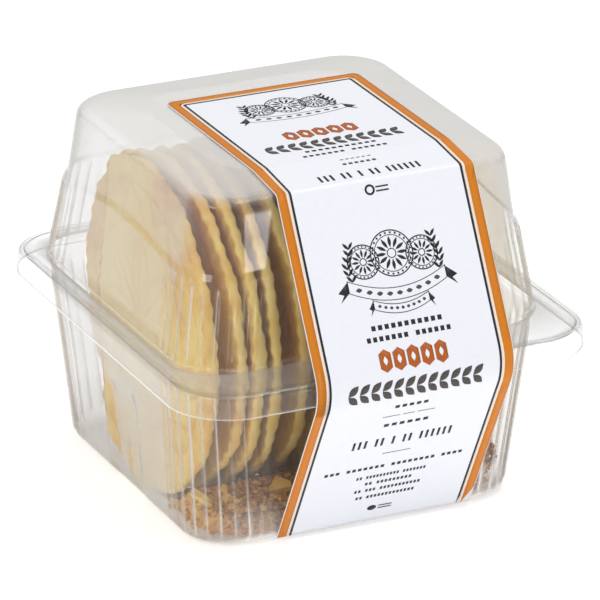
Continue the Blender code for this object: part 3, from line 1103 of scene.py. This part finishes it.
def bed_section(x, rng):
    """Points (x, y, z) round the bed at x: up the tray's front wall, then down the rims."""
    points = []
    for z in np.linspace(WALL + 0.3, BED_TOP, 8):
        wall = np.subtract(*tray_room(z, BED_CLEAR))
        bend = max(0.0, abs(x) - (wall - FLOOR_RADIUS))
        front = wall - FLOOR_RADIUS + math.sqrt(max(FLOOR_RADIUS ** 2 - bend ** 2, 0.0))
        points.append((x, FLANGE_MIDDLE + BACKSET - front, z))
    rim_y, rim_z, _ = bed_top()
    front_y = points[-1][1]
    for share in np.linspace(0.06, 0.94, 16):
        level = BED_TOP + (rim_z - BED_TOP) * share
        points.append((x, front_y + (rim_y - front_y) * share, level + rng.uniform(-0.9, 0.5)))
    for turn in np.linspace(*BED_TURNS, 24):
        reach = WAFER_RADIUS + 0.7 + rng.uniform(0.0, 0.7)
        points.append((x, WAFER_Y - reach * math.sin(turn), WAFER_Z - reach * math.cos(turn)))
    points.append((x, points[-1][1], WALL + 0.3))
    return points


def make_bed(rng):
    """Fine wafer dust that fills the wedge under the crumbs."""
    places = np.linspace(-BED_HALF, BED_HALF, 150)
    sections = [bed_section(x, rng) for x in places]
    around = len(sections[0])
    last = (len(sections) - 1) * around
    ends = [tuple(range(around)), tuple(range(last + around - 1, last - 1, -1))]
    faces = ends + tube_faces(len(sections), around, True)
    verts = np.array(sections).reshape(-1, 3)
    bed = mesh_piece("wafer_dust", verts, faces, WAFER)
    store(bed, "toast_and_shade", rng.uniform(0.55, 1.05, len(verts)))


def make_crumbs():
    rng = np.random.default_rng(7)
    make_bed(rng)
    for name, count, sizes, share, add in (("crumbs", 6000, (0.8, 3.0), 1.0, add_crumb),
                                           ("wafer_shards", 24, (7.0, 13.0), 0.62, add_shard)):
        bm = bmesh.new()
        layer = bm.verts.layers.float.new("toast_and_shade")
        for spot, size in crumb_spots(rng, count, sizes, share):
            add(bm, layer, spot, size, rng)
        bmesh.ops.recalc_face_normals(bm, faces=bm.faces[:])
        mesh = bpy.data.meshes.new(name)
        bm.to_mesh(mesh)
        bm.free()
        mesh.transform(Matrix.Scale(MM, 4))
        mesh.materials.append(WAFER)
        piece = bpy.data.objects.new(name, mesh)
        bpy.context.scene.collection.objects.link(piece)
        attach(piece, "root")


# ---------------------------------------------------------------- stage

def make_floor():
    bm = bmesh.new()
    bmesh.ops.create_grid(bm, x_segments=1, y_segments=1, size=12.0)
    mesh = bpy.data.meshes.new("floor")
    bm.to_mesh(mesh)
    bm.free()
    pale = Finish("pale_floor")
    pale.input["Base Color"].default_value = (0.88, 0.88, 0.88, 1.0)
    pale.input["Emission Color"].default_value = (1.0, 1.0, 1.0, 1.0)
    pale.input["Emission Strength"].default_value = 0.42
    pale.input["Roughness"].default_value = 0.9
    pale.input["Specular IOR Level"].default_value = 0.0
    mesh.materials.append(pale.made)
    floor = bpy.data.objects.new("floor", mesh)
    floor.location.z = -0.0002
    bpy.context.scene.collection.objects.link(floor)


def add_light(name, place, target, size, power, colour=(1.0, 1.0, 1.0)):
    data = bpy.data.lights.new(name, "AREA")
    data.shape = "RECTANGLE"
    data.size, data.size_y = size
    data.energy = power
    data.color = colour
    light = bpy.data.objects.new(name, data)
    light.location = place
    light.rotation_euler = (Vector(target) - Vector(place)).to_track_quat("-Z", "Y").to_euler()
    bpy.context.scene.collection.objects.link(light)


def make_lights():
    world = bpy.data.worlds.new("studio")
    world.use_nodes = True
    background = world.node_tree.nodes["Background"]
    background.inputs["Color"].default_value = (0.97, 0.98, 1.0, 1.0)
    background.inputs["Strength"].default_value = 0.58
    bpy.context.scene.world = world
    middle = (0.0, 0.0, 0.07)
    add_light("softbox", (0.35, -0.05, 1.40), middle, (0.75, 0.6), 8.0)
    add_light("key", (-1.2, -0.5, 1.2), middle, (0.5, 0.5), 7.0)
    # A small lamp whose light the lid's upper front wall mirrors towards the camera
    slope = (LID_HALF - SHOULDER_HALF) / SHOULDER_RISE
    over_ledge = LID_HALF - slope * LEDGE_RISE - LEDGE_STEP / 2
    tilt = math.atan2(over_ledge - SHOULDER_HALF, SHOULDER_RISE - LEDGE_RISE - LEDGE_HEIGHT)
    wall = Vector((0.0, -math.cos(tilt), math.sin(tilt)))
    spot = Vector((-58.0, FLANGE_MIDDLE + BACKSET - 64.5, FLANGE_Z + 46.0)) * MM
    sight = (spot - view_place()[0]).normalized()
    glint = sight - 2 * sight.dot(wall) * wall
    add_light("glint", spot + glint * 0.72, spot, (0.110, 0.060), 0.28, (0.97, 0.96, 1.0))


VIEW_AZIMUTH = -25.65      # degrees; negative is from the left
VIEW_ELEVATION = 22.42
VIEW_ROLL = 0.37
VIEW_DISTANCE = 2.042
VIEW_LENS = 333.1          # on a 36 mm sensor
VIEW_TARGET = (0.1, -3.4, -5.8)   # from the flange's middle and top face, in millimetres


def view_place():
    """The camera's place and its right, up and forward directions."""
    azimuth, elevation = math.radians(VIEW_AZIMUTH), math.radians(VIEW_ELEVATION)
    forward = Vector((-math.sin(azimuth) * math.cos(elevation),
                      math.cos(azimuth) * math.cos(elevation), -math.sin(elevation)))
    right = forward.cross(Vector((0, 0, 1))).normalized()
    upward = right.cross(forward)
    roll = Matrix.Rotation(math.radians(-VIEW_ROLL), 3, forward)
    target = Vector(VIEW_TARGET) + Vector((0, FLANGE_MIDDLE, FLANGE_Z))
    return target * MM - forward * VIEW_DISTANCE, roll @ right, roll @ upward, forward


def make_camera():
    place, right, upward, forward = view_place()
    axes = Matrix((right, upward, -forward)).transposed()
    data = bpy.data.cameras.new("camera")
    data.lens = VIEW_LENS
    data.sensor_width = 36.0
    data.clip_end = 50.0
    camera = bpy.data.objects.new("camera", data)
    camera.matrix_world = Matrix.Translation(place) @ axes.to_4x4()
    bpy.context.scene.collection.objects.link(camera)
    bpy.context.scene.camera = camera


def main():
    scene = bpy.context.scene
    scene.view_settings.view_transform = "Standard"
    scene.cycles.transparent_max_bounces = 24
    make_camera()
    make_lights()
    make_floor()
    make_lid()
    make_tray()
    make_label()
    make_prints()
    make_wafers()
    make_crumbs()


main()
